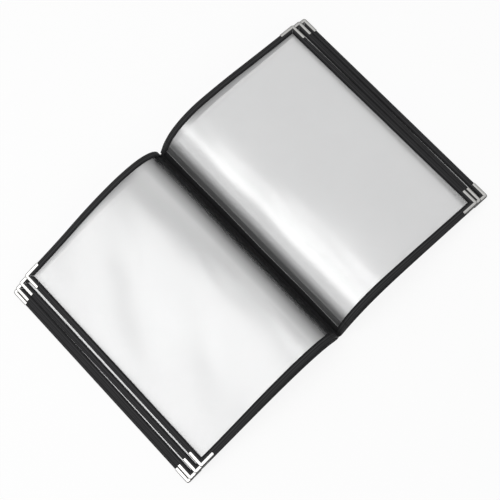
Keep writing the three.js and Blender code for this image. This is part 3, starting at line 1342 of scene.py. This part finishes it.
@dataclass
class Spine:
    """Cloth cover strip under the spine and the sewn core on it."""

    finishes: Finishes
    cover_width: float = 26.0
    cover_thickness: float = 1.0
    core_width: float = 5.0
    core_low: float = 1.3
    core_high: float = 5.5
    cover_edge: float = 14.0
    core_edge: float = 6.0
    length: float = LEAF_HEIGHT
    end_round: float = 4.0
    end_round_middle: float = 0.35
    least_rise: float = 0.04

    def cushion(
        self, name: str, width: float, low: float, high: float, edge: float, node: str
    ) -> bpy.types.Object:
        """Strip of cloth with rounded long edges.

        Half its height at a distance x from the middle is h * (1 - |x / w|^p)^(1/p), a
        flattened oval with w half its width. Its ends are rounded in plan: half its length
        at x is L / 2 - r * (m + (1 - m) * (x / w)^2), with m end_round_middle.

        Args:
            name: Name of the piece.
            width: Width of the strip.
            low: Height of its underside.
            high: Height of its top.
            edge: Power p, higher for a squarer edge.
            node: CAD node that the piece stands for.

        Returns:
            The new object.
        """
        rows, columns = CUSHION_GRID
        u = np.linspace(-1.0, 1.0, rows)[:, None]
        v = np.linspace(-1.0, 1.0, columns)[None, :]
        x = np.sin(u * math.pi / 2) * width / 2
        oval = 1 - np.abs(np.sin(u * math.pi / 2)) ** edge
        rise = oval.clip(self.least_rise, 1) ** (1 / edge)
        middle, half = (low + high) / 2, (high - low) / 2
        least = self.end_round_middle
        rounded = self.end_round * (least + (1 - least) * (2 * x / width) ** 2)
        across = v * (self.length / 2 - rounded)
        grid = np.broadcast_arrays(x, across, middle + half * rise)
        under = np.broadcast_arrays(x, across, middle - half * rise)
        top = np.stack(grid, axis=-1) * MM
        bottom = np.stack(under, axis=-1) * MM
        obj = slab(name, top, bottom, surface_map(x, across))
        obj.data.materials.append(self.finishes.strip)
        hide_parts(node)
        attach(obj, "spine")
        return obj

    def build(self) -> None:
        """Builds the cover and the core."""
        width, core = self.cover_width, (self.core_width, self.core_low, self.core_high)
        wrap = self.cushion(
            "spine_wrap", width, 0.0, self.cover_thickness, self.cover_edge, "spine_cover"
        )
        cut = (width * MM, self.length * MM)
        self.cushion("spine_sewn_core", *core, self.core_edge, "spine_core")
        LOG.info("spine: cover and sewn core")


@dataclass
class MenuCover:
    """The whole open cover."""

    finishes: Finishes
    left_shares: tuple[float, ...] = (0.474, 0.605, 0.792, 1.0)
    left_tilts: tuple[float, ...] = (-3.14, -2.42, -1.46, 0.12)
    left_twists: tuple[tuple[float, float], ...] = (
        (0.0, 0.0), (0.0, 0.0), (-1.7, 0.2), (-0.7, 0.0)
    )
    right_shares: tuple[float, ...] = (0.578, 0.798, 1.0)
    right_tilts: tuple[float, ...] = (-2.53, -1.53, -0.05)
    right_twists: tuple[tuple[float, float], ...] = (
        (-0.35, 1.4), (-2.7, 1.2), (0.0, 0.0)
    )

    def side(self, hand: Hand) -> list[PocketLeaf]:
        """Leaves of one side.

        Args:
            hand: Side of the spine.

        Returns:
            The leaves, from the bottom of the stack up.
        """
        left = hand is Hand.LEFT
        label = "left" if left else "right"
        if left:
            shares, tilts, twists = self.left_shares, self.left_tilts, self.left_twists
        else:
            shares, tilts, twists = self.right_shares, self.right_tilts, self.right_twists
        leaves = []
        chain = ["spine"]
        count = len(shares)
        for i, (share, tilt, twist) in enumerate(zip(shares, tilts, twists)):
            number = count - i
            chain.append(f"{label}_leaf_{number}")
            root = (ROOT_CLEAR + ROOT_PITCH * (number - 1), ROOT_HEIGHT)
            curve = LeafCurve(ARCH_STOPS, ARCH_SLOPES[hand], share, tilt, root, hand, twist)
            seed = 10 * number + (1 if left else 2)
            name = f"{label}_{number}"
            leaves.append(PocketLeaf(name, curve, tuple(chain), self.finishes, seed))
        return leaves

    def build(self) -> None:
        """Builds the spine and the leaves."""
        Spine(self.finishes).build()
        for leaf in self.side(Hand.LEFT) + self.side(Hand.RIGHT):
            leaf.build()


# The studio


@dataclass(frozen=True)
class Softbox:
    """Rectangular area lamp that faces straight down, its sides along X and Y."""

    name: str
    place: tuple[float, float, float]
    size: tuple[float, float]
    watts: float

    def hang(self) -> None:
        """Adds the lamp to the scene."""
        data = bpy.data.lights.new(self.name, "AREA")
        data.shape = "RECTANGLE"
        data.size, data.size_y = self.size
        data.energy = self.watts
        obj = bpy.data.objects.new(self.name, data)
        obj.location = self.place
        bpy.context.scene.collection.objects.link(obj)


@dataclass
class Studio:
    """White floor and surround, three soft lamps and the camera."""

    azimuth: float = -13.0
    elevation: float = 76.22
    roll: float = -30.92
    distance: float = 1.6955
    target: tuple[float, float, float] = (-0.00321, -0.00642, 0.0)
    lens: float = 102.76
    sensor: float = 36.0
    clip: tuple[float, float] = (0.05, 30.0)
    world_level: float = 0.56
    floor_reach: float = 12.0
    floor_depth: float = -0.0002
    lamps: tuple[Softbox, ...] = (
        Softbox("overhead_softbox", (-0.67, 0.22, 1.5), (1.32, 0.70), 8.6),
        Softbox("far_left_softbox", (-0.98, 0.74, 1.5), (0.68, 0.34), 2.2),
        Softbox("near_right_softbox", (0.32, 0.02, 1.5), (0.50, 0.34), 2.3),
    )

    def camera(self) -> None:
        """Camera on a sphere about its target, rolled about its own axis."""
        azimuth, elevation = math.radians(self.azimuth), math.radians(self.elevation)
        away = Vector(
            (
                math.sin(azimuth) * math.cos(elevation),
                -math.cos(azimuth) * math.cos(elevation),
                math.sin(elevation),
            )
        )
        right = (-away).cross(Vector((0.0, 0.0, 1.0))).normalized()
        up = right.cross(-away).normalized()
        roll = math.radians(self.roll)
        picture_right = math.cos(roll) * right + math.sin(roll) * up
        picture_up = -math.sin(roll) * right + math.cos(roll) * up
        data = bpy.data.cameras.new("camera")
        data.lens = self.lens
        data.sensor_width = self.sensor
        data.clip_start, data.clip_end = self.clip
        obj = bpy.data.objects.new("camera", data)
        turn = Matrix((picture_right, picture_up, away)).transposed().to_4x4()
        place = Vector(self.target) + away * self.distance
        obj.matrix_world = Matrix.Translation(place) @ turn
        bpy.context.scene.collection.objects.link(obj)
        bpy.context.scene.camera = obj

    def world(self) -> None:
        """Even white surround, seen as plain white by the camera and by mirror rays."""
        world = bpy.data.worlds.new("white_surround")
        bpy.context.scene.world = world
        world.use_nodes = True
        tree = world.node_tree
        tree.nodes.clear()
        background = tree.nodes.new("ShaderNodeBackground")
        background.inputs["Color"].default_value = (1.0, 1.0, 1.0, 1.0)
        output = tree.nodes.new("ShaderNodeOutputWorld")
        strength = shown_ray(tree) * (1.0 - self.world_level) + self.world_level
        tree.links.new(strength.socket, background.inputs["Strength"])
        tree.links.new(background.outputs[0], output.inputs[0])

    def floor(self, material: bpy.types.Material) -> None:
        """Wide flat floor under the cover.

        Args:
            material: Finish of the floor.
        """
        corners = np.array([[-1, -1], [1, -1], [1, 1], [-1, 1]]) * self.floor_reach
        points = np.column_stack([corners, np.full(4, self.floor_depth)])
        mesh = bpy.data.meshes.new("floor")
        mesh.from_pydata(points.tolist(), [], [(0, 1, 2, 3)])
        obj = bpy.data.objects.new("floor", mesh)
        obj.data.materials.append(material)
        bpy.context.scene.collection.objects.link(obj)

    def build(self, finishes: Finishes) -> None:
        """Sets the camera, the light and the floor.

        Args:
            finishes: Materials of the scene, the floor's among them.
        """
        self.camera()
        self.world()
        for lamp in self.lamps:
            lamp.hang()
        self.floor(finishes.floor)
        bpy.context.scene.view_settings.view_transform = "Standard"
        LOG.info("studio: camera, surround, %d softboxes and floor", len(self.lamps))


def main() -> None:
    """Loads the frame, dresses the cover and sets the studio."""
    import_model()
    finishes = Finishes()
    Studio().build(finishes)
    MenuCover(finishes).build()
    bpy.context.view_layer.update()


if __name__ == "__main__":
    main()
